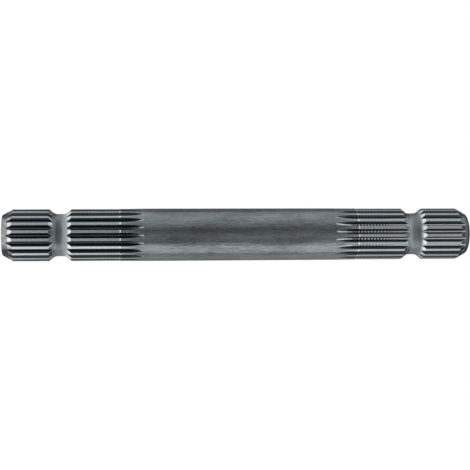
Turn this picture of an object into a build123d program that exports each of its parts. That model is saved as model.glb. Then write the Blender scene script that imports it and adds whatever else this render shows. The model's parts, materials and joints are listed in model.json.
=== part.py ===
"""Double-ended splined shaft: one turned steel bar with an involute spline and a lock groove at each end.

The shaft stands on one end. +Z runs along its axis, and the origin is the centre of the bottom end face.
Both ends have the same form. Only the angular phase of their teeth differs, because each end is hobbed in
a setting of its own.
"""

from build123d import *

import os
from math import acos, cos, degrees, pi, radians, sin, tan

# ---------------------------------------------------------------- driving dimensions, mm and degrees
overall_length = 402.0

# Involute spline of 12/24 diametral pitch, flat at the root: 20 teeth come out at 1 3/4 in across.
teeth = 20
module = 25.4 / 12
pressure_angle = 30.0
hob_radius = 36.0  # its arc leaves the run-out at the inner end of each gap
gap_full_depth_length = 104.0  # from the end face to where the hob starts to lift out
bottom_tooth_angle = 0.0  # middle of a tooth, from +X
top_tooth_angle = 11.1

# Turned form of each end, measured from its end face.
shoulder_distance = 99.0  # where the tooth crests meet the plain body
shoulder_step = 0.25  # the body stands this much above the crests
shoulder_ramp = 0.6
end_face_inset = 2.3  # the end chamfer runs this far below the tooth roots
chamfer_angle = 30.0
rim_radius = 1.2
groove_distance = 39.3
groove_width = 18.8
groove_inset = 1.26  # groove floor below the tooth roots
groove_flank_angle = 40.0
groove_blend_radius = 6.0

# Centre-drilled hole in each end face, for turning between centres.
centre_mouth_diameter = 13.2
centre_pilot_diameter = 6.3
centre_cone_angle = 60.0
centre_pilot_length = 4.0
centre_tip_angle = 118.0

cut_overrun = 1.0  # how far the gap cutter passes clear of the bar

# ---------------------------------------------------------------- worked out from them
pitch_radius = module * teeth / 2
base_radius = pitch_radius * cos(radians(pressure_angle))
crest_radius = module * (teeth + 1) / 2
root_radius = module * (teeth - 1.8) / 2
body_radius = crest_radius + shoulder_step
end_face_radius = root_radius - end_face_inset
groove_radius = root_radius - groove_inset

chamfer_length = (crest_radius - end_face_radius) / tan(radians(chamfer_angle))
groove_flank_length = (crest_radius - groove_radius) / tan(radians(groove_flank_angle))
centre_cone_depth = (centre_mouth_diameter - centre_pilot_diameter) / 2 / tan(radians(centre_cone_angle / 2))
centre_pilot_depth = centre_cone_depth + centre_pilot_length
centre_tip_depth = centre_pilot_depth + centre_pilot_diameter / 2 / tan(radians(centre_tip_angle / 2))
middle = Plane.XY.offset(overall_length / 2)


def involute(angle):
    """The involute function of an angle in radians."""
    return tan(angle) - angle


def gap_flank_point(radius):
    """Point at this radius on the flank of the gap that lies on +X. Tooth and gap are equal at the pitch."""
    half_gap = pi / (2 * teeth) - involute(radians(pressure_angle)) + involute(acos(base_radius / radius))
    return (radius * cos(half_gap), radius * sin(half_gap))


# ---------------------------------------------------------------- cutter for one gap, bottom end, on +X
gap_top_radius = body_radius + cut_overrun
flank_steps = 6
flank_radii = [root_radius + (gap_top_radius - root_radius) * i / flank_steps for i in range(flank_steps + 1)]
flank_points = [gap_flank_point(radius) for radius in flank_radii]
opposite_points = [(x, -y) for x, y in flank_points]

# how far the gap's section swings round the hob's axis until it is clear of the bar
hob_lift_angle = degrees(acos(1 - (gap_top_radius - root_radius) / hob_radius))

with BuildPart() as gap_cutter:
    with BuildSketch(Plane.XY.offset(gap_full_depth_length)) as gap_section:
        with BuildLine():
            Spline(*flank_points)
            Line(flank_points[-1], opposite_points[-1])
            Spline(*reversed(opposite_points))
            Line(opposite_points[0], flank_points[0])
        make_face()
    extrude(amount=-(gap_full_depth_length + cut_overrun))
    hob_axis = Axis((root_radius + hob_radius, 0, gap_full_depth_length), (0, 1, 0))
    revolve(gap_section.sketch, axis=hob_axis, revolution_arc=hob_lift_angle)

top_gap_cutter = mirror(gap_cutter.part, about=middle)

# ---------------------------------------------------------------- the shaft
with BuildPart() as splined_shaft:
    # Turned bar, bottom half: end chamfer, lock groove, and the shoulder up to the plain body.
    with BuildSketch(Plane.XZ) as turned_half:
        with BuildLine():
            Polyline(
                (0, 0),
                (end_face_radius, 0),
                (crest_radius, chamfer_length),
                (crest_radius, groove_distance),
                (groove_radius, groove_distance + groove_flank_length),
                (groove_radius, groove_distance + groove_width - groove_flank_length),
                (crest_radius, groove_distance + groove_width),
                (crest_radius, shoulder_distance),
                (body_radius, shoulder_distance + shoulder_ramp),
                (body_radius, overall_length / 2),
                (0, overall_length / 2),
                close=True,
            )
        make_face()
        off_axis = turned_half.vertices().filter_by_position(Axis.X, 0.1, groove_radius + 0.01)
        rim = off_axis.sort_by(Axis.Y)[0]
        groove_floor = off_axis.sort_by(Axis.Y)[1:]
        fillet(rim, rim_radius)
        fillet(groove_floor, groove_blend_radius)
    revolve(axis=Axis.Z)

    # Centre-drilled hole: a 60 degree mouth and a short pilot.
    with BuildSketch(Plane.XZ):
        with BuildLine():
            Polyline(
                (0, 0),
                (centre_mouth_diameter / 2, 0),
                (centre_pilot_diameter / 2, centre_cone_depth),
                (centre_pilot_diameter / 2, centre_pilot_depth),
                (0, centre_tip_depth),
                close=True,
            )
        make_face()
    revolve(axis=Axis.Z, mode=Mode.SUBTRACT)
    mirror(about=middle)

    # Hobbed gaps between the teeth, both ends.
    half_pitch_angle = 180 / teeth
    with PolarLocations(0, teeth, start_angle=bottom_tooth_angle + half_pitch_angle):
        add(gap_cutter.part, mode=Mode.SUBTRACT)
    with PolarLocations(0, teeth, start_angle=top_tooth_angle + half_pitch_angle):
        add(top_gap_cutter, mode=Mode.SUBTRACT)

splined_shaft.part.label = "splined_shaft"
os.makedirs("parts", exist_ok=True)
export_step(splined_shaft.part, "parts/splined_shaft.step")
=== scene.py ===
"""Splined drive shaft: one turned and hobbed steel bar, standing on one end, under plain soft light.

The shaft is one closed surface. Its rows follow the turned outline from the centre of one end face to the
centre of the other, and its columns follow the outline of the hobbed gaps. Lengths are in metres.
"""

import json
from math import cos, pi, radians, sin, tan
from types import SimpleNamespace

import bpy
import numpy as np
from mathutils import Matrix, Vector


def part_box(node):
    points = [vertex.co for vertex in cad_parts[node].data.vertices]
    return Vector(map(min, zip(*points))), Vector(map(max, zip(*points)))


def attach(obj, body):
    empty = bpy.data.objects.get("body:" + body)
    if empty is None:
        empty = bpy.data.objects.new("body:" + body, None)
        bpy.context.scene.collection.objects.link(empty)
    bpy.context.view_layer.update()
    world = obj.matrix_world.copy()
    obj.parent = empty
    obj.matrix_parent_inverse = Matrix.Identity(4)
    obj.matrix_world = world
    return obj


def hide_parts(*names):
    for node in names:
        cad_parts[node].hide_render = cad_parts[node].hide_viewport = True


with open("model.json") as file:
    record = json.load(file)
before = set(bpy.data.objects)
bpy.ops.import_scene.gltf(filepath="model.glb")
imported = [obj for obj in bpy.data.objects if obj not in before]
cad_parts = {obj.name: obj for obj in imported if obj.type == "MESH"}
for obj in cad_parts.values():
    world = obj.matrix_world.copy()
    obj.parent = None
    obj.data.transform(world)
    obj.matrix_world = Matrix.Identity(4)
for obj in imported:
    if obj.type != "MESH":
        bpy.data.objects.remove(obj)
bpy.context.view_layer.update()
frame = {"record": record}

MM = 0.001
mounts = {mount["name"]: mount for mount in frame["record"]["mounts"]}

# ---------------------------------------------------------------- sizes of the shaft
TEETH = 20
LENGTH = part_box("splined_shaft")[1].z
CREST_RADIUS = mounts["bottom_spline"]["dims"]["r_mm"] * MM
BODY_RADIUS = mounts["plain_body"]["dims"]["r_mm"] * MM
SHOULDER = mounts["bottom_spline"]["dims"]["length_mm"] * MM
RAMP_START = SHOULDER - 0.55 * MM
RAMP_END = SHOULDER + 0.55 * MM
RAMP_ROUNDING = 0.5 * MM
RIDGE_END = SHOULDER + 1.5 * MM  # the ramp ends in a low worn ridge
LAND_RADIUS = CREST_RADIUS + 0.1 * MM  # on the lands between the gaps, just past the ridge
LAND_END = SHOULDER + 27 * MM  # by here the lands have risen to the body

PRESSURE_ANGLE = radians(30)
MODULE = 2 * CREST_RADIUS / (TEETH + 1)
PITCH_RADIUS = MODULE * TEETH / 2
BASE_RADIUS = PITCH_RADIUS * cos(PRESSURE_ANGLE)
FLOOR_DEPTH = 0.9  # of a gap below the pitch circle, in modules
ROOT_RADIUS = MODULE * (TEETH - 2 * FLOOR_DEPTH) / 2
HALF_PITCH = pi / TEETH
BOTTOM_GAP_ANGLE = HALF_PITCH  # a tooth stands on +X at the bottom end
END_TWIST = radians(11.1)  # how far round the top end's teeth stand from those of the bottom end
TOP_GAP_ANGLE = END_TWIST - HALF_PITCH

HOB_RADIUS = 36 * MM
FULL_DEPTH_LENGTH = 104 * MM
RUNOUT_MARGIN = 0.25 * MM  # past its end the body is whole
ROOT_ROUNDING = 0.42 * MM  # between the floor of a gap and its flanks
EDGE_BREAK = 0.13 * MM  # worn round on the long edges of the teeth
SHARP_EDGE = 0.2 * MM  # rounding of the turned edges

END_FACE_RADIUS = ROOT_RADIUS - 2.3 * MM
CHAMFER_ANGLE = radians(30)
CHAMFER_LENGTH = (CREST_RADIUS - END_FACE_RADIUS) / tan(CHAMFER_ANGLE)
CHAMFER_ROUNDING = 0.25 * MM
RIM_ROUNDING = 2 * MM
GROOVE_START = 39.3 * MM
GROOVE_WIDTH = 18.8 * MM
GROOVE_RADIUS = ROOT_RADIUS - 1.26 * MM
GROOVE_ANGLE = radians(40)
GROOVE_FLANK = (CREST_RADIUS - GROOVE_RADIUS) / tan(GROOVE_ANGLE)
GROOVE_ROUNDING = 6 * MM

MOUTH_RADIUS = 6.6 * MM
PILOT_RADIUS = 3.15 * MM
CONE_HALF_ANGLE = radians(30)
DRILL_HALF_ANGLE = radians(59)
CONE_DEPTH = (MOUTH_RADIUS - PILOT_RADIUS) / tan(CONE_HALF_ANGLE)
PILOT_DEPTH = CONE_DEPTH + 4 * MM
TIP_DEPTH = PILOT_DEPTH + PILOT_RADIUS / tan(DRILL_HALF_ANGLE)

# ---------------------------------------------------------------- outline of one hobbed gap
ROUNDING_STEPS, FLANK_STEPS, CREST_STEPS = 4, 4, 2  # columns on each part of half a gap and tooth
FLANK_POINTS, ARC_POINTS = 400, 60  # how finely the outline itself is drawn
OUTLINE_MARGIN = 1.5 * MM  # the flank goes on this far above the body
# where rows let the outline leave a turned surface, as shares of its floor, rounding and flank
FLOOR_SHARES = np.array([0.35, 1])
ROUNDING_SHARES = np.array([0.5, 0])  # back from the rounding's end
FLANK_SHARES = np.array([0.2, 0.4, 0.6, 0.8, 0.93])


def involute(angle):
    """The involute function: the tangent of an angle less the angle itself."""
    return np.tan(angle) - angle


def flank_point(radius):
    """Half the gap, as x along the gap's middle line and y across it, at a radius from the shaft's axis.

    The half angle is a quarter pitch, less the involute of the pressure angle at the pitch circle, plus
    the involute of the pressure angle at this radius, whose cosine is the base radius over the radius.
    """
    half_gap = pi / (2 * TEETH) - involute(PRESSURE_ANGLE) + involute(np.arccos(BASE_RADIUS / radius))
    return np.stack([radius * np.cos(half_gap), radius * np.sin(half_gap)], axis=-1)


def gap_outline():
    """Half the outline of a gap at full depth, from the middle of its floor up its flank.

    A straight floor, then an arc that touches floor and flank, then the involute. The points are close
    together. With them come the lengths along the outline to each point, to the end of the floor and to
    the end of the arc.
    """
    flank = flank_point(np.linspace(ROOT_RADIUS, BODY_RADIUS + OUTLINE_MARGIN, FLANK_POINTS))
    corner = flank[0]
    along = flank[1] - flank[0]
    along /= np.hypot(*along)
    turn = np.arctan2(along[0], along[1])
    tangent = ROOT_ROUNDING * tan(turn / 2)
    centre = corner + (ROOT_ROUNDING, -tangent)
    swing = np.linspace(0, turn, ARC_POINTS)[:, None]
    arc = centre + ROOT_ROUNDING * np.hstack([-np.cos(swing), np.sin(swing)])
    floor = np.linspace((corner[0], 0), arc[0], ARC_POINTS)
    kept = flank[np.hypot(*(flank - corner).T) > tangent]
    outline = np.vstack([floor, arc[1:], kept])
    length = np.concatenate([[0], np.cumsum(np.hypot(*np.diff(outline, axis=0).T))])
    return outline, length, length[len(floor) - 1], length[len(floor) + len(arc) - 2]


OUTLINE, ALONG, FLOOR_END, ROUNDING_END = gap_outline()
HOB_AXIS = ROOT_RADIUS + HOB_RADIUS


def lifted(lift):
    """The gap's outline where the hob has travelled on by a length past full depth, and its radii.

    A column of lengths gives a row of points for each.

    Every point swings about the hob's axis, so its x moves to the axis distance, less the root of its own
    squared distance from that axis less the squared travel.
    """
    x = HOB_AXIS - np.sqrt((HOB_AXIS - OUTLINE[:, 0]) ** 2 - lift**2)
    return x, OUTLINE[:, 1], np.hypot(x, OUTLINE[:, 1])


def leaving_lengths(radius):
    """Lengths along the gap's outline at which rows of the mesh let it leave the turned surface."""
    top = np.interp(radius, lifted(0)[2], ALONG)
    floor = FLOOR_END * FLOOR_SHARES
    rounding = ROUNDING_END + (FLOOR_END - ROUNDING_END) * ROUNDING_SHARES
    flank = ROUNDING_END + (top - ROUNDING_END) * FLANK_SHARES
    return np.concatenate([floor, rounding, flank])


# ---------------------------------------------------------------- rows: the turned outline
UNDER_FLOOR = 0.5 * MM  # a row lies this far under the gaps' floor on each conical run
ABOVE_ROUNDING = 0.05 * MM  # rows on the groove's flanks start this far above its rounding
RIM_STEPS, GROOVE_STEPS, MOUTH_STEPS = 5, 7, 2  # arc steps of the roundings
FACE_ROW = 0.8  # a row on the end face, as a share of its radius
BODY_ROW = 0.4  # a row on the plain body, as a share of the way from the full gaps to its middle


def rounded_outline(corners):
    """Points (distance from the end face, radius) along straight runs with rounded corners.

    Each corner is (distance, radius, rounding, arc steps). A rounding is the arc that touches both runs.
    Its ends lie a tangent length from the corner: the rounding times the tangent of half the turn.
    """
    points = [np.array(corners[0][:2])]
    for before, corner, after in zip(corners, corners[1:], corners[2:]):
        here = np.array(corner[:2])
        rounding, steps = corner[2:]
        if not rounding:
            points.append(here)
            continue
        into = here - before[:2]
        out = np.array(after[:2]) - here
        into /= np.hypot(*into)
        out /= np.hypot(*out)
        turn = np.arctan2(into[0] * out[1] - into[1] * out[0], into @ out)
        tangent = rounding * tan(abs(turn) / 2)
        normal = np.sign(turn) * np.array([-into[1], into[0]])
        start = here - tangent * into
        for swing in np.linspace(0, abs(turn), steps + 1):
            points.append(start + rounding * (sin(swing) * into + (1 - cos(swing)) * normal))
    points.append(np.array(corners[-1][:2]))
    return points


def slope_corners(start, end, lowest):
    """Unrounded corners on a conical run, where the columns of the gap's outline leave the cone.

    One more lies just under the gap's floor, and none lies below the lowest radius.
    """
    (start_d, start_r), (end_d, end_r) = start, end
    top = max(start_r, end_r)
    radii = np.interp(leaving_lengths(top), ALONG, lifted(0)[2])
    radii = np.concatenate([[ROOT_RADIUS - UNDER_FLOOR], radii])
    radii = radii[radii > lowest]
    radii = radii if end_r > start_r else radii[::-1]
    distances = start_d + (radii - start_r) * (end_d - start_d) / (end_r - start_r)
    return [(d, r, 0, 0) for d, r in zip(distances, radii)]


def land_radius(distance):
    """Turned radius past the shoulder: it rises evenly from the lands by the ridge to the body."""
    return np.interp(distance, [RIDGE_END, LAND_END], [LAND_RADIUS, BODY_RADIUS])


def runout_corners():
    """Corners along the body where the gap's outline leaves it, column by column, as the hob lifts out.

    A point of the outline reaches the body at a travel of the root of its squared distance from the hob's
    axis less the squared distance that the body's surface has from it.
    """
    lengths = leaving_lengths(BODY_RADIUS)[::-1]
    x = np.interp(lengths, ALONG, OUTLINE[:, 0])
    y = np.interp(lengths, ALONG, OUTLINE[:, 1])
    surface = np.sqrt(BODY_RADIUS**2 - y**2)
    travel = np.sqrt((HOB_AXIS - x) ** 2 - (HOB_AXIS - surface) ** 2)
    distances = FULL_DEPTH_LENGTH + np.array([*travel, travel[-1] + RUNOUT_MARGIN])
    return [(distance, radius, 0, 0) for distance, radius in zip(distances, land_radius(distances))]


def end_rows():
    """Rows of one end, from the bottom of the centre hole to the middle of the body."""
    groove_end = GROOVE_START + GROOVE_WIDTH
    floor_start = (GROOVE_START + GROOVE_FLANK, GROOVE_RADIUS)
    floor_end = (groove_end - GROOVE_FLANK, GROOVE_RADIUS)
    arc_top = GROOVE_RADIUS + GROOVE_ROUNDING * (1 - cos(GROOVE_ANGLE)) + ABOVE_ROUNDING
    corners = [
        # centre hole, end face and chamfer
        (PILOT_DEPTH, PILOT_RADIUS, 0, 0),
        (CONE_DEPTH, PILOT_RADIUS, 0, 0),
        (0, MOUTH_RADIUS, SHARP_EDGE, MOUTH_STEPS),
        (0, FACE_ROW * END_FACE_RADIUS, 0, 0),
        (0, END_FACE_RADIUS, RIM_ROUNDING, RIM_STEPS),
        *slope_corners((0, END_FACE_RADIUS), (CHAMFER_LENGTH, CREST_RADIUS), END_FACE_RADIUS),
        (CHAMFER_LENGTH, CREST_RADIUS, CHAMFER_ROUNDING, 1),
        # crests and groove
        (0.5 * (CHAMFER_LENGTH + GROOVE_START), CREST_RADIUS, 0, 0),
        (GROOVE_START, CREST_RADIUS, SHARP_EDGE, 1),
        *slope_corners((GROOVE_START, CREST_RADIUS), floor_start, arc_top),
        (*floor_start, GROOVE_ROUNDING, GROOVE_STEPS),
        (*floor_end, GROOVE_ROUNDING, GROOVE_STEPS),
        *slope_corners(floor_end, (groove_end, CREST_RADIUS), arc_top),
        (groove_end, CREST_RADIUS, SHARP_EDGE, 1),
        (0.5 * (groove_end + SHOULDER), CREST_RADIUS, 0, 0),
        # shoulder, lands between the gaps, run-outs and body
        (RAMP_START, CREST_RADIUS, 0, 0),
        (RAMP_END, BODY_RADIUS, RAMP_ROUNDING, 1),
        (RIDGE_END, LAND_RADIUS, 0, 0),
        (FULL_DEPTH_LENGTH, land_radius(FULL_DEPTH_LENGTH), 0, 0),
        *runout_corners(),
        ((1 - BODY_ROW) * FULL_DEPTH_LENGTH + BODY_ROW * LENGTH / 2, BODY_RADIUS, 0, 0),
        (LENGTH / 2, BODY_RADIUS, 0, 0),
    ]
    return np.array(rounded_outline(corners))


# ---------------------------------------------------------------- columns: round the shaft
MOST_WORN = 0.25  # at most this share of a shallow gap's outline is worn edge
MOST_LOW = 0.97  # and at most this share of the rest is floor and rounding


def half_columns(distances, radii):
    """Angles and radii of the columns from the gap's middle line to the middle of the tooth.

    In each row the gap's outline is cut off where it reaches the turned radius. Columns share out the
    floor, the rounding and the flank below that, and the last few lie on the turned circle. The worn edge
    takes one in between. Its angle is the mean of its two neighbours' and twice the sharp edge's, and its
    radius lies a quarter of the way down to the neighbour in the gap.
    """
    lift = np.clip(distances - FULL_DEPTH_LENGTH, 0, HOB_RADIUS / 2)[:, None]
    x, y, reach = lifted(lift)
    top = np.array([np.interp(radius, row, ALONG) for radius, row in zip(radii, reach)])[:, None]

    worn = np.minimum(EDGE_BREAK, MOST_WORN * top)
    usable = top - worn
    low_end = np.minimum(ROUNDING_END, MOST_LOW * usable)
    low = np.concatenate([[0], np.linspace(FLOOR_END / ROUNDING_END, 1, ROUNDING_STEPS + 1)])
    flank = np.linspace(0, 1, FLANK_STEPS + 1)[1:]
    lengths = np.hstack([low * low_end, low_end + flank * (usable - low_end), top])

    column_x = np.array([np.interp(row, ALONG, line) for row, line in zip(lengths, x)])
    column_y = np.interp(lengths, ALONG, y)
    angles = np.arctan2(column_y, column_x)
    column_radii = np.hypot(column_x, column_y)

    radii = radii[:, None]
    edge = angles[:, -1:]
    crest_start = edge + worn / radii
    crest_share = np.linspace(0, 1, CREST_STEPS + 1)
    crest = crest_start + crest_share * (HALF_PITCH - crest_start)
    angles[:, -1:] = (angles[:, -2:-1] + crest_start + 2 * edge) / 4
    column_radii[:, -1:] = (column_radii[:, -2:-1] + 3 * radii) / 4
    angles = np.hstack([angles, crest])
    column_radii = np.hstack([column_radii, np.repeat(radii, CREST_STEPS + 1, axis=1)])

    whole = (top <= 0)[:, 0]
    columns = angles.shape[1]
    angles[whole] = np.linspace(0, HALF_PITCH, columns)
    column_radii[whole] = radii[whole]
    return angles, np.minimum(column_radii, radii)


def shaft_grid():
    """Points of every row and column, as rows by columns by 3, and three figures for each point.

    x is the radius times the cosine of the angle, y times its sine, z the row's place. The columns start
    at the gaps of the bottom end, turn evenly along the body, and end at the gaps of the top end. The
    figures are the depth in the gap, the share of the gap's outline, from 0 in the middle of the floor to
    1 on the turned surface, and the wear.
    """
    distances, radii = end_rows().T
    angles, point_radii = half_columns(distances, radii)
    angles = np.hstack([angles, 2 * HALF_PITCH - angles[:, -2:0:-1]])
    point_radii = np.hstack([point_radii, point_radii[:, -2:0:-1]])
    depth = radii[:, None] - point_radii
    edge = ROUNDING_STEPS + FLANK_STEPS + 2  # the worn edge's column
    wear = np.zeros(angles.shape)
    wear[:, [edge, -edge]] = 1
    share = np.ones(angles.shape)
    share[:, :edge] = np.linspace(0, 1, edge)
    share[:, 1 - edge:] = np.linspace(1, 0, edge)[:-1]
    closed = ~np.any(depth > 0, axis=1)  # rows that no gap reaches
    wear[closed] = 0
    share[closed] = 1

    z = np.concatenate([distances, LENGTH - distances[-2::-1]])
    both_ends = (np.vstack([a, a[-2::-1]]) for a in (angles, point_radii, depth, share, wear))
    angles, point_radii, depth, share, wear = both_ends

    body_start = distances[-3]  # just past the run-outs
    twist = np.clip((z - body_start) / (LENGTH - 2 * body_start), 0, 1)
    phase = BOTTOM_GAP_ANGLE + twist * (TOP_GAP_ANGLE - BOTTOM_GAP_ANGLE)
    gap_turns = 2 * HALF_PITCH * np.arange(TEETH)
    angles = (phase[:, None, None] + gap_turns[:, None] + angles[:, None, :]).reshape(len(z), -1)
    point_radii = np.tile(point_radii, TEETH)
    depth, share, wear = (np.tile(values, TEETH) for values in (depth, share, wear))
    points = np.stack([point_radii * np.cos(angles), point_radii * np.sin(angles),
                       np.broadcast_to(z[:, None], angles.shape)], axis=-1)
    return points, depth, share, wear


def grid_faces(rows, columns):
    """Quads of a grid that closes on itself round its columns, anticlockwise seen from outside."""
    row, column = np.meshgrid(np.arange(rows - 1), np.arange(columns), indexing="ij")
    beside = (column + 1) % columns
    low, high = row * columns, (row + 1) * columns
    return np.stack([low + column, low + beside, high + beside, high + column], axis=-1).reshape(-1, 4)


def area_normals(points, quads, fans):
    """A unit normal for each point: the sum of its faces' normals, each as long as its face is large."""
    normals = np.zeros_like(points)
    for faces in (quads, fans):
        one_way = points[faces[:, 2]] - points[faces[:, 0]]
        other_way = points[faces[:, -1]] - points[faces[:, 1]]
        crossed = np.cross(one_way, other_way)
        for corner in range(faces.shape[1]):
            np.add.at(normals, faces[:, corner], crossed)
    return normals / np.linalg.norm(normals, axis=1)[:, None]


def make_shaft():
    """The shaft as one closed mesh: the grid, with a fan of triangles at the tip of each centre hole."""
    grid, depth, share, wear = shaft_grid()
    rows, columns = grid.shape[:2]
    points = np.vstack([grid.reshape(-1, 3), [(0, 0, TIP_DEPTH), (0, 0, LENGTH - TIP_DEPTH)]])
    bottom_tip, top_tip = rows * columns, rows * columns + 1
    quads = grid_faces(rows, columns)
    column = np.arange(columns)
    beside = (column + 1) % columns
    last = (rows - 1) * columns
    fans = np.vstack([np.stack([np.full(columns, bottom_tip), beside, column], axis=-1),
                      np.stack([np.full(columns, top_tip), last + column, last + beside], axis=-1)])

    mesh = bpy.data.meshes.new("splined_shaft_finished")
    mesh.from_pydata(points, [], [*quads.tolist(), *fans.tolist()])
    mesh.polygons.foreach_set("use_smooth", np.ones(len(mesh.polygons), bool))
    for name, values in (("gap_depth", depth / MM), ("gap_share", share), ("edge_wear", wear)):
        attribute = mesh.attributes.new(name, "FLOAT", "POINT")
        attribute.data.foreach_set("value", np.concatenate([values.ravel(), [0, 0]]))
    mesh.normals_split_custom_set_from_vertices(area_normals(points, quads, fans))
    mesh.update()
    shaft = bpy.data.objects.new("splined_shaft_finished", mesh)
    bpy.context.collection.objects.link(shaft)
    return shaft


shaft = make_shaft()
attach(shaft, "root")
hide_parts("splined_shaft")


# ---------------------------------------------------------------- node helpers
def add_node(tree, kind, inputs=None, **settings):
    """Adds a node with its settings, and gives each input named or numbered a value or a link."""
    made = tree.nodes.new(kind)
    for name, value in settings.items():
        setattr(made, name, value)
    for key, value in (inputs or {}).items():
        if isinstance(value, bpy.types.NodeSocket):
            tree.links.new(value, made.inputs[key])
        else:
            made.inputs[key].default_value = value
    return made


def calculate(tree, operation, first, second=0.0):
    """One arithmetic step on two values."""
    return add_node(tree, "ShaderNodeMath", {0: first, 1: second}, operation=operation).outputs[0]


def product(tree, first, *others):
    """Values multiplied together."""
    for other in others:
        first = calculate(tree, "MULTIPLY", first, other)
    return first


def complement(tree, value):
    """What a share leaves of 1."""
    return calculate(tree, "SUBTRACT", 1.0, value)


def ease(tree, value, start, end, low=0.0, high=1.0):
    """A smooth change from low to high as the value goes from start to end."""
    inputs = {"Value": value, "From Min": start, "From Max": end, "To Min": low, "To Max": high}
    return add_node(tree, "ShaderNodeMapRange", inputs, interpolation_type="SMOOTHSTEP").outputs[0]


def band(tree, value, rise, fall):
    """1 between two places and 0 beyond them, eased from start to end of the rise and of the fall."""
    return product(tree, ease(tree, value, *rise), ease(tree, value, fall[1], fall[0]))


def blend(tree, share, first, second):
    """One colour turned into another by a share."""
    inputs = {0: share, 6: first, 7: second}
    return add_node(tree, "ShaderNodeMix", inputs, data_type="RGBA", blend_type="MIX").outputs[2]


def mix(tree, share, first, second):
    """One value turned into another by a share."""
    return add_node(tree, "ShaderNodeMix", {0: share, 2: first, 3: second}).outputs[0]


def vector_value(tree, operation, first, second=(0.0, 0.0, 0.0)):
    """A single value worked out from one or two vectors."""
    inputs = {0: first, 1: second}
    return add_node(tree, "ShaderNodeVectorMath", inputs, operation=operation).outputs["Value"]


def noise(tree, vector, scale, detail, roughness):
    """Noise from 0 to 1, its scale in waves a metre along each axis."""
    placed = add_node(tree, "ShaderNodeMapping", {"Vector": vector, "Scale": scale}).outputs[0]
    inputs = {"Vector": placed, "Scale": 1.0, "Detail": detail, "Roughness": roughness}
    return add_node(tree, "ShaderNodeTexNoise", inputs).outputs["Fac"]


def ring_noise(tree, along, scale, detail, roughness):
    """Noise that only changes along the turned outline, so it draws rings round the shaft."""
    placed = product(tree, along, scale)
    inputs = {"W": placed, "Scale": 1.0, "Detail": detail, "Roughness": roughness}
    return add_node(tree, "ShaderNodeTexNoise", inputs, noise_dimensions="1D").outputs["Fac"]


def bump(tree, height, distance, beneath=None):
    """Relief that stands a distance high where the height is 1, on top of the relief beneath it."""
    inputs = {"Height": height, "Distance": distance, "Strength": 1.0}
    if beneath is not None:
        inputs["Normal"] = beneath
    return add_node(tree, "ShaderNodeBump", inputs).outputs[0]


# ---------------------------------------------------------------- steel
# colours, as linear red, green and blue
BODY_DARK = (0.17, 0.189, 0.2, 1)
BODY_LIGHT = (0.33, 0.364, 0.386, 1)
TURNED_STEEL = (0.47, 0.505, 0.525, 1)
CUT_STEEL = (0.7, 0.74, 0.76, 1)
# painted highlight on the teeth's cut facets and on the shoulder line
HIGHLIGHT_STEEL = (0.87, 0.9, 0.915, 1)
DULL_CUT = (0.31, 0.338, 0.355, 1)
DULL_CHAMFER = (0.19, 0.22, 0.215, 1)
BRUISED_CHAMFER = (0.2, 0.209, 0.205, 1)
PALE_CHAMFER = (0.43, 0.444, 0.439, 1)
# painted dark reflection on the groove floors
DARK_REFLECTION = (0.13, 0.15, 0.16, 1)
CLEAN_FLOOR = (0.7, 0.74, 0.76, 1)
# the gaps' dark colours; the darkest is also the top rim's painted dark reflection
DARK_GAP_FLOOR = (0.066, 0.082, 0.092, 1)
NEAR_BLACK = (0.054, 0.068, 0.077, 1)
DARK_GAP_FLANK = (0.1, 0.118, 0.13, 1)

# patterns: waves a metre along X, Y and Z, levels of detail, roughness
PATTERNS = {
    "streaks": ((800, 800, 12), 4.0, 0.55),
    "flecks": ((900, 900, 190), 3.0, 0.6),
    "mottling": ((120, 120, 32), 5.0, 0.55),
    "patches": ((70, 70, 70), 2.0, 0.55),
    "waviness": ((380, 380, 230), 2.0, 0.55),
    "swells": ((100, 100, 22), 2.0, 0.55),
    "grain": ((1800, 1800, 500), 3.0, 0.55),
    "nicks": ((420, 420, 420), 4.0, 0.65),
}
RING_PATTERN = (1100, 4.0, 0.7)
STREAKS_IN_TONE, MOTTLING_IN_TONE = 0.6, 0.9  # in the body's tone, where the flecks count once
BODY_TONES = 0.9, 1.6
FEED_PITCH = 2.76 * MM  # the hob's feed marks along the gaps
FEED_DEPTH = 0.16 * MM
FEED_WANDER = 3 * MM  # how far the marks stray from their even spacing
RING_HEIGHT = 0.012 * MM
STREAK_HEIGHT = 0.012 * MM
WAVE_HEIGHT = 0.08 * MM
SWELL_HEIGHT = 0.5 * MM

# edges of the regions: where each one begins and where it is complete
# by height
UPPER_HALF = 0.4 * LENGTH, 0.6 * LENGTH
DULL_CRESTS = 0.22 * LENGTH, 0.05 * LENGTH
BOTTOM_CHAMFER = 1.3 * CHAMFER_LENGTH, CHAMFER_LENGTH
TOP_CHAMFER = LENGTH - BOTTOM_CHAMFER[0], LENGTH - BOTTOM_CHAMFER[1]
# the top rim, which gets a painted dark reflection
TOP_RIM = LENGTH - 2.4 * MM, LENGTH - 1.4 * MM
# by distance from the nearer end face
SPLINE = SHOULDER + 0.6 * MM, SHOULDER + 0.2 * MM
LANDS = SHOULDER + 14 * MM, SHOULDER + 3 * MM
RUN_OUT = FULL_DEPTH_LENGTH + 1 * MM, FULL_DEPTH_LENGTH + 8 * MM
RUN_OUT_TIP = FULL_DEPTH_LENGTH + 9 * MM, FULL_DEPTH_LENGTH + 14 * MM
# by radius
RECESSED = CREST_RADIUS - 0.05 * MM, CREST_RADIUS - 0.3 * MM
ABOVE_ROOTS = ROOT_RADIUS - 1.1 * MM, ROOT_RADIUS + 1.2 * MM
FACET = ROOT_RADIUS + 0.2 * MM, ROOT_RADIUS + 1.2 * MM
GROOVE_FLOOR = ROOT_RADIUS + 0.4 * MM, ROOT_RADIUS - 0.2 * MM
END_FACE = END_FACE_RADIUS, END_FACE_RADIUS - 2 * MM
CENTRE_HOLE = MOUTH_RADIUS, 0.7 * MOUTH_RADIUS
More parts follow.
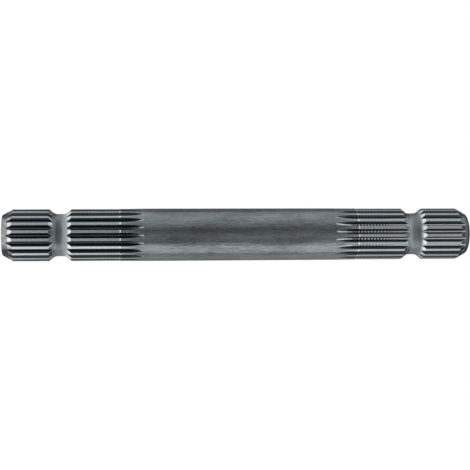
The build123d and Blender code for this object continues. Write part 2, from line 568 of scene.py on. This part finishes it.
# by depth in a gap in millimetres, and by the share of its outline
IN_GAP = 0.02, 0.3
GAP_FLOOR = 0.34, 0.12
# round the shaft, by the part along Y of the direction away from its middle: the camera's side, where the
# groove floors get a painted dark reflection
CAMERA_SIDE = -0.65, -0.92

# bands, with a near edge and a far edge: from where each begins to where it is complete, and back again
# by distance from the nearer end face
# the shoulder line gets a painted highlight
SHOULDER_HIGHLIGHT = (RAMP_START - 0.5 * MM, RAMP_START), (RAMP_END, RAMP_END + 0.4 * MM)
FEED_MARKS = (66 * MM, 80 * MM), (SHOULDER, SHOULDER + 4 * MM)
# where the top end's gap floors are darker, by the shoulder
SHOULDER_DARKENING = (SHOULDER - 1 * MM, SHOULDER + 1 * MM), (SHOULDER + 5 * MM, SHOULDER + 6.5 * MM)
# where the groove floors get a painted dark reflection
GROOVE_REFLECTION = ((GROOVE_START + 2 * MM, GROOVE_START + 4 * MM),
                (GROOVE_START + 9 * MM, GROOVE_START + 12 * MM))
# round the shaft, by the part along X of the direction away from its middle: the +X side, towards the low
# side light, where the crests get a painted highlight
LOW_LIGHT_SIDE = (0.45, 0.6), (0.9, 0.96)


def by_end(tree, at, bottom, top):
    """A value for the bottom end that turns into another for the top end along the middle of the body."""
    return ease(tree, at.z, *UPPER_HALF, bottom, top)


def read_surface(tree):
    """What is known of each point: its place, the mesh's own figures, the patterns and the regions."""
    at = SimpleNamespace()
    at.place = add_node(tree, "ShaderNodeTexCoord").outputs["Object"]
    x, y, at.z = add_node(tree, "ShaderNodeSeparateXYZ", {0: at.place}).outputs
    across = add_node(tree, "ShaderNodeCombineXYZ", {0: x, 1: y}).outputs[0]
    at.radius = vector_value(tree, "LENGTH", across)
    at.part_along_x = calculate(tree, "DIVIDE", x, at.radius)
    at.part_along_y = calculate(tree, "DIVIDE", y, at.radius)
    at.from_end = calculate(tree, "MINIMUM", at.z, calculate(tree, "SUBTRACT", LENGTH, at.z))
    for name in ("gap_depth", "gap_share", "edge_wear"):
        figure = add_node(tree, "ShaderNodeAttribute", attribute_name=name)
        setattr(at, name, figure.outputs["Fac"])
    for name, settings in PATTERNS.items():
        setattr(at, name, noise(tree, at.place, *settings))
    at.rings = ring_noise(tree, calculate(tree, "ADD", at.z, at.radius), *RING_PATTERN)

    at.in_gap = ease(tree, at.gap_depth, *IN_GAP)
    at.open_surface = complement(tree, at.in_gap)
    at.splined = ease(tree, at.from_end, *SPLINE)
    at.recessed = ease(tree, at.radius, *RECESSED)
    at.facet = ease(tree, at.radius, *FACET)
    at.feed_marked = band(tree, at.from_end, *FEED_MARKS)
    uneven = calculate(tree, "ADD", at.z, product(tree, at.mottling, FEED_WANDER))
    at.feed_wave = calculate(tree, "FRACT", calculate(tree, "DIVIDE", uneven, FEED_PITCH))
    return at


def bar_colour(tree, at):
    """Mottled dark steel on the body, and turned crests, duller low down and with a painted highlight on
    the +X side.
    """
    tone = product(tree, at.streaks, STREAKS_IN_TONE)
    tone = calculate(tree, "ADD", tone, product(tree, at.mottling, MOTTLING_IN_TONE))
    tone = calculate(tree, "ADD", tone, at.flecks)
    body = blend(tree, ease(tree, tone, *BODY_TONES), BODY_DARK, BODY_LIGHT)
    crests = blend(tree, ease(tree, at.rings, 0.35, 0.65, 0.0, 0.25), TURNED_STEEL, CUT_STEEL)
    crests = blend(tree, ease(tree, at.z, *DULL_CRESTS, 0.0, 0.7), crests, DULL_CUT)
    # painted highlight: crests lighter on the +X side, towards the low side light, more so at the bottom
    # end
    painted_sheen = product(tree, band(tree, at.part_along_x, *LOW_LIGHT_SIDE), by_end(tree, at, 0.85, 0.3))
    crests = blend(tree, painted_sheen, crests, CUT_STEEL)
    lands = ease(tree, at.from_end, *LANDS, 0.0, 0.55)
    return blend(tree, calculate(tree, "MAXIMUM", at.splined, lands), body, crests)


def cut_colour(tree, at):
    """Everything cut below the crests: facets, groove floors, chamfers, end faces and centre holes.

    Facets are lighter, with a painted highlight in patches, and groove floors are duller. The bottom
    chamfer is bruised below its teeth, the top one is dull with a painted dark reflection on its rim, and
    each groove floor has a painted dark reflection, darkest on the camera's side.
    """
    # cut surfaces above the roots, the teeth's facets, are lighter, and get a painted highlight in
    # patches
    cut = blend(tree, ease(tree, at.radius, *ABOVE_ROOTS), DULL_CUT, CUT_STEEL)
    facet_highlight = product(tree, at.facet, ease(tree, at.patches, 0.4, 0.55, 0.15, 1.0))
    cut = blend(tree, facet_highlight, cut, HIGHLIGHT_STEEL)
    cut = blend(tree, ease(tree, at.flecks, 0.45, 0.65, 0.0, 0.35), cut, DULL_CUT)

    bruised = blend(tree, ease(tree, at.nicks, 0.35, 0.6), BRUISED_CHAMFER, PALE_CHAMFER)
    below_teeth = ease(tree, at.facet, 1.0, 0.3)
    cut = blend(tree, product(tree, ease(tree, at.z, *BOTTOM_CHAMFER), below_teeth), cut, bruised)
    cut = blend(tree, ease(tree, at.z, *TOP_CHAMFER, 0.0, 0.75), cut, DULL_CHAMFER)
    # painted dark reflection: a near-black ring on the rounding of the top rim
    cut = blend(tree, ease(tree, at.z, *TOP_RIM, 0.0, 0.85), cut, NEAR_BLACK)
    cut = blend(tree, ease(tree, at.radius, *END_FACE), cut, TURNED_STEEL)
    cut = blend(tree, ease(tree, at.radius, *CENTRE_HOLE, 0.0, 0.8), cut, DULL_CHAMFER)

    # painted dark reflection: a dark patch on each groove floor, strongest on the camera's side and at
    # the bottom end
    on_floor = ease(tree, at.radius, *GROOVE_FLOOR)
    to_side = ease(tree, at.part_along_y, *CAMERA_SIDE, 0.4, 1.0)
    dark_reflection = product(tree, band(tree, at.from_end, *GROOVE_REFLECTION), on_floor, to_side)
    return blend(tree, product(tree, dark_reflection, by_end(tree, at, 1.0, 0.45)), cut, DARK_REFLECTION)


def gap_colour(tree, at):
    """Dark in the gaps: darkest at the bottom end and less dark at the top end.

    The top end's floors are light, and darker between the feed marks and by the shoulder.
    """
    off_middle = calculate(tree, "POWER", calculate(tree, "SUBTRACT", at.feed_wave, 0.5), 2.0)
    between_marks = product(tree, ease(tree, product(tree, off_middle, 4.0), 0.1, 0.5), at.feed_marked)
    by_shoulder = product(tree, band(tree, at.from_end, *SHOULDER_DARKENING), 0.6)
    darkened = calculate(tree, "MAXIMUM", between_marks, by_shoulder)
    run_out = ease(tree, at.from_end, *RUN_OUT)
    clean = blend(tree, darkened, CLEAN_FLOOR, DARK_GAP_FLOOR)
    clean = blend(tree, run_out, clean, TURNED_STEEL)
    bottom_floor = blend(tree, ease(tree, at.from_end, *RUN_OUT_TIP), DARK_GAP_FLOOR, TURNED_STEEL)
    top_flank = blend(tree, run_out, DARK_GAP_FLANK, BODY_DARK)
    top_end = by_end(tree, at, 0.0, 1.0)
    floor = blend(tree, top_end, bottom_floor, clean)
    flank = blend(tree, top_end, NEAR_BLACK, top_flank)
    return blend(tree, ease(tree, at.gap_share, *GAP_FLOOR), flank, floor)


def surface_roughness(tree, at):
    """Grainy steel, more so on the splines and most on the top one, but smooth on the cut facets."""
    roughness = ease(tree, at.grain, 0.3, 0.7, 0.22, 0.33)
    ground = product(tree, at.splined, by_end(tree, at, 0.06, 0.18))
    roughness = calculate(tree, "ADD", roughness, ground)
    polished = product(tree, at.facet, at.recessed, at.open_surface)
    return product(tree, roughness, ease(tree, polished, 0.0, 1.0, 1.0, 0.45))


def surface_relief(tree, at):
    """Feed marks in the gaps, turned rings in the cuts, streaks all over, then waves and long swells."""
    feed = calculate(tree, "SINE", product(tree, at.feed_wave, 2 * pi))
    relief = bump(tree, product(tree, feed, at.feed_marked, at.in_gap), FEED_DEPTH / 2)
    relief = bump(tree, product(tree, at.rings, at.recessed, at.open_surface), RING_HEIGHT, relief)
    relief = bump(tree, at.streaks, STREAK_HEIGHT, relief)
    relief = bump(tree, product(tree, at.waviness, at.open_surface), WAVE_HEIGHT, relief)
    return bump(tree, at.swells, SWELL_HEIGHT, relief)


def shaft_steel():
    """Dark drawn bar in the middle, turned crests, bright cuts with painted highlights, dark gaps, rubbed
    edges.
    """
    material = bpy.data.materials.new("shaft_steel_finish")
    material.use_nodes = True
    tree = material.node_tree
    shader = tree.nodes["Principled BSDF"]
    at = read_surface(tree)
    colour = blend(tree, at.recessed, bar_colour(tree, at), cut_colour(tree, at))
    # painted highlight: a bright line where the shoulder's ramp catches the light
    colour = blend(tree, band(tree, at.from_end, *SHOULDER_HIGHLIGHT), colour, HIGHLIGHT_STEEL)
    colour = blend(tree, at.in_gap, colour, gap_colour(tree, at))
    rubbed_edge = product(tree, at.edge_wear, ease(tree, at.grain, 0.4, 0.65, 0.1, 0.7))
    colour = blend(tree, rubbed_edge, colour, CUT_STEEL)
    tree.links.new(colour, shader.inputs["Base Color"])
    tree.links.new(surface_roughness(tree, at), shader.inputs["Roughness"])
    tree.links.new(surface_relief(tree, at), shader.inputs["Normal"])
    shader.inputs["Metallic"].default_value = 1.0
    return material


shaft.data.materials.append(shaft_steel())

# ---------------------------------------------------------------- camera
FRONT = radians(-82.4)  # direction that the camera looks from, about the shaft's axis
AIM_HEIGHT = 198.1 * MM
CAMERA_DISTANCE = 997.6 * MM
CAMERA_YAW = radians(6.2)  # the bottom end is nearer to the camera
CAMERA_ROLL = radians(0.22)
AIM_OFFSET = 0.48 * MM
LENS = 88.28


def turned_direction(angle):
    """Level direction at an angle round the shaft from the camera's side, positive towards +X."""
    return Vector((cos(FRONT + angle), sin(FRONT + angle), 0))


def make_camera():
    """The camera lies on its side, so that the standing shaft runs level from left to right."""
    away = turned_direction(0) * cos(CAMERA_YAW) - Vector((0, 0, sin(CAMERA_YAW)))
    forward = -away
    right = (Vector((0, 0, 1)) - forward.z * forward).normalized()
    up = right.cross(forward)
    aim = Vector((0, 0, AIM_HEIGHT)) - up * AIM_OFFSET
    turn = Matrix((right, up, away)).transposed() @ Matrix.Rotation(-CAMERA_ROLL, 3, "Z")
    camera = bpy.data.objects.new("camera", bpy.data.cameras.new("camera"))
    camera.data.lens = LENS
    camera.data.clip_start = 0.01
    camera.matrix_world = Matrix.Translation(aim + away * CAMERA_DISTANCE) @ turn.to_4x4()
    bpy.context.collection.objects.link(camera)
    bpy.context.scene.camera = camera


# ---------------------------------------------------------------- lamps
LAMP_DISTANCE = 1.2
LAMP_HEIGHT = 0.3
LAMP_RISE = 1.2  # how tall each lamp is
# name: angle round the shaft from the camera's side, width, brightness
LAMPS = {
    "low_side_light": (radians(66), 0.95, 0.8),
    "high_side_light": (radians(-85), 1.56, 0.3),
    "back_light": (radians(118), 0.9, 0.3),
}


def soft_light(name, angle, width, brightness):
    """A rectangular soft light beside the shaft. Its power is its brightness times pi times its area."""
    lamp = bpy.data.lights.new(name, "AREA")
    lamp.shape = "RECTANGLE"
    lamp.size = width
    lamp.size_y = LAMP_RISE
    lamp.energy = brightness * pi * width * LAMP_RISE
    holder = bpy.data.objects.new(name, lamp)
    holder.location = turned_direction(angle) * LAMP_DISTANCE + Vector((0, 0, LAMP_HEIGHT))
    facing = Vector((0, 0, LENGTH / 2)) - holder.location
    holder.rotation_euler = facing.to_track_quat("-Z", "Y").to_euler()
    bpy.context.collection.objects.link(holder)


# ---------------------------------------------------------------- studio walls, as metal sees them
WHITE = (1, 1, 1, 1)
# how far the studio's grey flags leave its white walls open, against the direction's part along X
OPEN_WALL = ((0.0, 0.38), (0.08, 0.28), (0.16, 0.42), (0.27, 0.26), (0.36, 0.13), (0.5, 0.19),
             (0.58, 0.27), (0.64, 0.44), (0.71, 0.2), (0.85, 0.27), (1.0, 0.25))


def wall_opening(tree, part_along_x):
    """The open share of the white walls, for a direction's part along X from -1 to 1."""
    side = calculate(tree, "ADD", product(tree, part_along_x, 0.5), 0.5)
    ramp = add_node(tree, "ShaderNodeValToRGB", {0: side})
    ramp.color_ramp.interpolation = "B_SPLINE"
    while len(ramp.color_ramp.elements) < len(OPEN_WALL):
        ramp.color_ramp.elements.new(0.5)
    for element, (position, level) in zip(ramp.color_ramp.elements, OPEN_WALL):
        element.position = position
        element.color = (level, level, level, 1)
    return ramp.outputs[0]


# ---------------------------------------------------------------- floor
FLOOR_HALF = 8.0
FLOOR_COLOUR = (0.85, 0.85, 0.85, 1)
SHADOW_SHARE = 0.5  # how much of the floor's shade is real shadow, close to the shaft
SHADOW_REACH = 0.05, 0.45
OPEN_FLOOR_LIGHT = 0.3  # how bright the matt floor is where nothing shades it
# the floor as metal mirrors it: white close by, then like the walls, brighter away from the front
FAR_FLOOR = 0.4, 0.7
BRIGHT_WALLS, BRIGHT_WALLS_GAIN = (-0.9, -0.6), 1.8
BESIDE_THE_END, BESIDE_REACH, BESIDE_SHADE = (-0.85, -0.5), (0.036, 0.028), 0.85


def floor_material():
    """Near-white floor that keeps a soft shadow by the shaft and meets the backdrop without a line.

    Metal sees it white near the shaft, dark right beside the bottom end, and like the walls farther off.
    """
    material = bpy.data.materials.new("pale_floor")
    material.use_nodes = True
    tree = material.node_tree
    tree.nodes.clear()
    place = add_node(tree, "ShaderNodeTexCoord").outputs["Object"]
    reach = vector_value(tree, "LENGTH", place)
    ray = add_node(tree, "ShaderNodeLightPath").outputs

    matt = add_node(tree, "ShaderNodeBsdfDiffuse", {"Color": FLOOR_COLOUR}).outputs[0]
    near = ease(tree, reach, *SHADOW_REACH, SHADOW_SHARE, 0.0)
    lift = complement(tree, product(tree, near, OPEN_FLOOR_LIGHT))
    lifted_matt = add_node(tree, "ShaderNodeEmission", {"Color": WHITE, "Strength": lift}).outputs[0]
    shadow_part = add_node(tree, "ShaderNodeMixShader", {0: near, 2: matt}).outputs[0]
    seen = add_node(tree, "ShaderNodeAddShader", {0: lifted_matt, 1: shadow_part}).outputs[0]

    x, y = add_node(tree, "ShaderNodeSeparateXYZ", {0: place}).outputs[:2]
    part_along_y = calculate(tree, "DIVIDE", y, reach)
    walls = wall_opening(tree, calculate(tree, "DIVIDE", x, reach))
    walls = product(tree, walls, ease(tree, part_along_y, *BRIGHT_WALLS, 1.0, BRIGHT_WALLS_GAIN))
    mirrored = mix(tree, ease(tree, reach, *FAR_FLOOR), 1.0, walls)
    beside = product(tree, ease(tree, part_along_y, *BESIDE_THE_END),
                     ease(tree, reach, *BESIDE_REACH, 0.0, BESIDE_SHADE))
    mirrored = product(tree, mirrored, complement(tree, beside))
    mirror_image = add_node(tree, "ShaderNodeEmission", {"Color": WHITE, "Strength": mirrored}).outputs[0]

    glossy = calculate(tree, "MAXIMUM", ray["Is Glossy Ray"], ray["Is Transmission Ray"])
    first = add_node(tree, "ShaderNodeMixShader", {0: ray["Is Camera Ray"], 1: matt, 2: seen}).outputs[0]
    second = add_node(tree, "ShaderNodeMixShader", {0: glossy, 1: first, 2: mirror_image}).outputs[0]
    add_node(tree, "ShaderNodeOutputMaterial", {"Surface": second})
    return material


def make_floor():
    """A wide level floor under the bottom end."""
    mesh = bpy.data.meshes.new("floor")
    corners = [(x * FLOOR_HALF, y * FLOOR_HALF, 0) for x, y in ((-1, -1), (1, -1), (1, 1), (-1, 1))]
    mesh.from_pydata(corners, [], [(0, 1, 2, 3)])
    floor = bpy.data.objects.new("floor", mesh)
    mesh.materials.append(floor_material())
    bpy.context.collection.objects.link(floor)


# ---------------------------------------------------------------- world
MATT_LEVEL = 0.45  # the same walls as matt surfaces see them
# by the part along Y of a direction
BACK_WALL = 0.0, 0.3
FRONT_WALL = 0.15, -0.15
# by the part along Z: where each begins and where it is complete, and how bright or how shaded it is
RISING_WALLS, RISING_GAIN = (0.05, 0.45), 1.7
OVERHEAD, OVERHEAD_LEVEL = (0.86, 0.96), 0.25
HIGH_UP, HIGH_BACK_SHADE = (0.25, 0.45), 0.9
PANEL_FOOT, PANEL_TOP, PANEL_LEVEL = (0.42, 0.54), (0.9, 0.82), 0.75
# by the part along the direction to their middle: the unlit ceiling behind, and a darker corner
CEILING, CEILING_EDGE, CEILING_LEVEL = (0.0, 0.55, 0.835), (0.76, 0.88), 0.04
CORNER, CORNER_EDGE, CORNER_LEVEL = (-0.64, 0.77, 0.0), (0.75, 0.95), 0.6


def make_world():
    """White to the camera and through glass. Metal sees the white walls of a studio between grey flags.

    The walls are most open above eye level, a white panel hangs high in front, and the ceiling is dark.
    """
    world = bpy.data.worlds.new("studio")
    bpy.context.scene.world = world
    world.use_nodes = True
    tree = world.node_tree
    tree.nodes.clear()
    direction = add_node(tree, "ShaderNodeTexCoord").outputs["Generated"]
    x, y, height = add_node(tree, "ShaderNodeSeparateXYZ", {0: direction}).outputs
    rising = ease(tree, height, *RISING_WALLS, 1.0, RISING_GAIN)
    overhead = ease(tree, height, *OVERHEAD, 1.0, OVERHEAD_LEVEL)
    open_wall = product(tree, wall_opening(tree, x), rising, overhead)
    panel = product(tree, ease(tree, height, *PANEL_FOOT),
                    ease(tree, height, *PANEL_TOP, 0.0, PANEL_LEVEL), ease(tree, y, *FRONT_WALL))

    high_back = product(tree, ease(tree, y, *BACK_WALL),
                        ease(tree, height, *HIGH_UP, 0.0, HIGH_BACK_SHADE))
    to_ceiling = vector_value(tree, "DOT_PRODUCT", direction, CEILING)
    to_corner = vector_value(tree, "DOT_PRODUCT", direction, CORNER)
    lit = product(tree, ease(tree, to_ceiling, *CEILING_EDGE, 1.0, CEILING_LEVEL),
                  ease(tree, to_corner, *CORNER_EDGE, 1.0, CORNER_LEVEL), complement(tree, high_back))
    metal_sees = product(tree, calculate(tree, "ADD", open_wall, panel), lit)

    ray = add_node(tree, "ShaderNodeLightPath").outputs
    background = calculate(tree, "MAXIMUM", ray["Is Camera Ray"], ray["Is Transmission Ray"])
    matt_or_metal = mix(tree, ray["Is Glossy Ray"], MATT_LEVEL, metal_sees)
    level = mix(tree, background, matt_or_metal, 1.0)
    white = add_node(tree, "ShaderNodeBackground", {"Color": WHITE, "Strength": level}).outputs[0]
    add_node(tree, "ShaderNodeOutputWorld", {"Surface": white})


make_camera()
make_floor()
make_world()
for name, (angle, width, brightness) in LAMPS.items():
    soft_light(name, angle, width, brightness)
bpy.context.scene.view_settings.view_transform = "Standard"
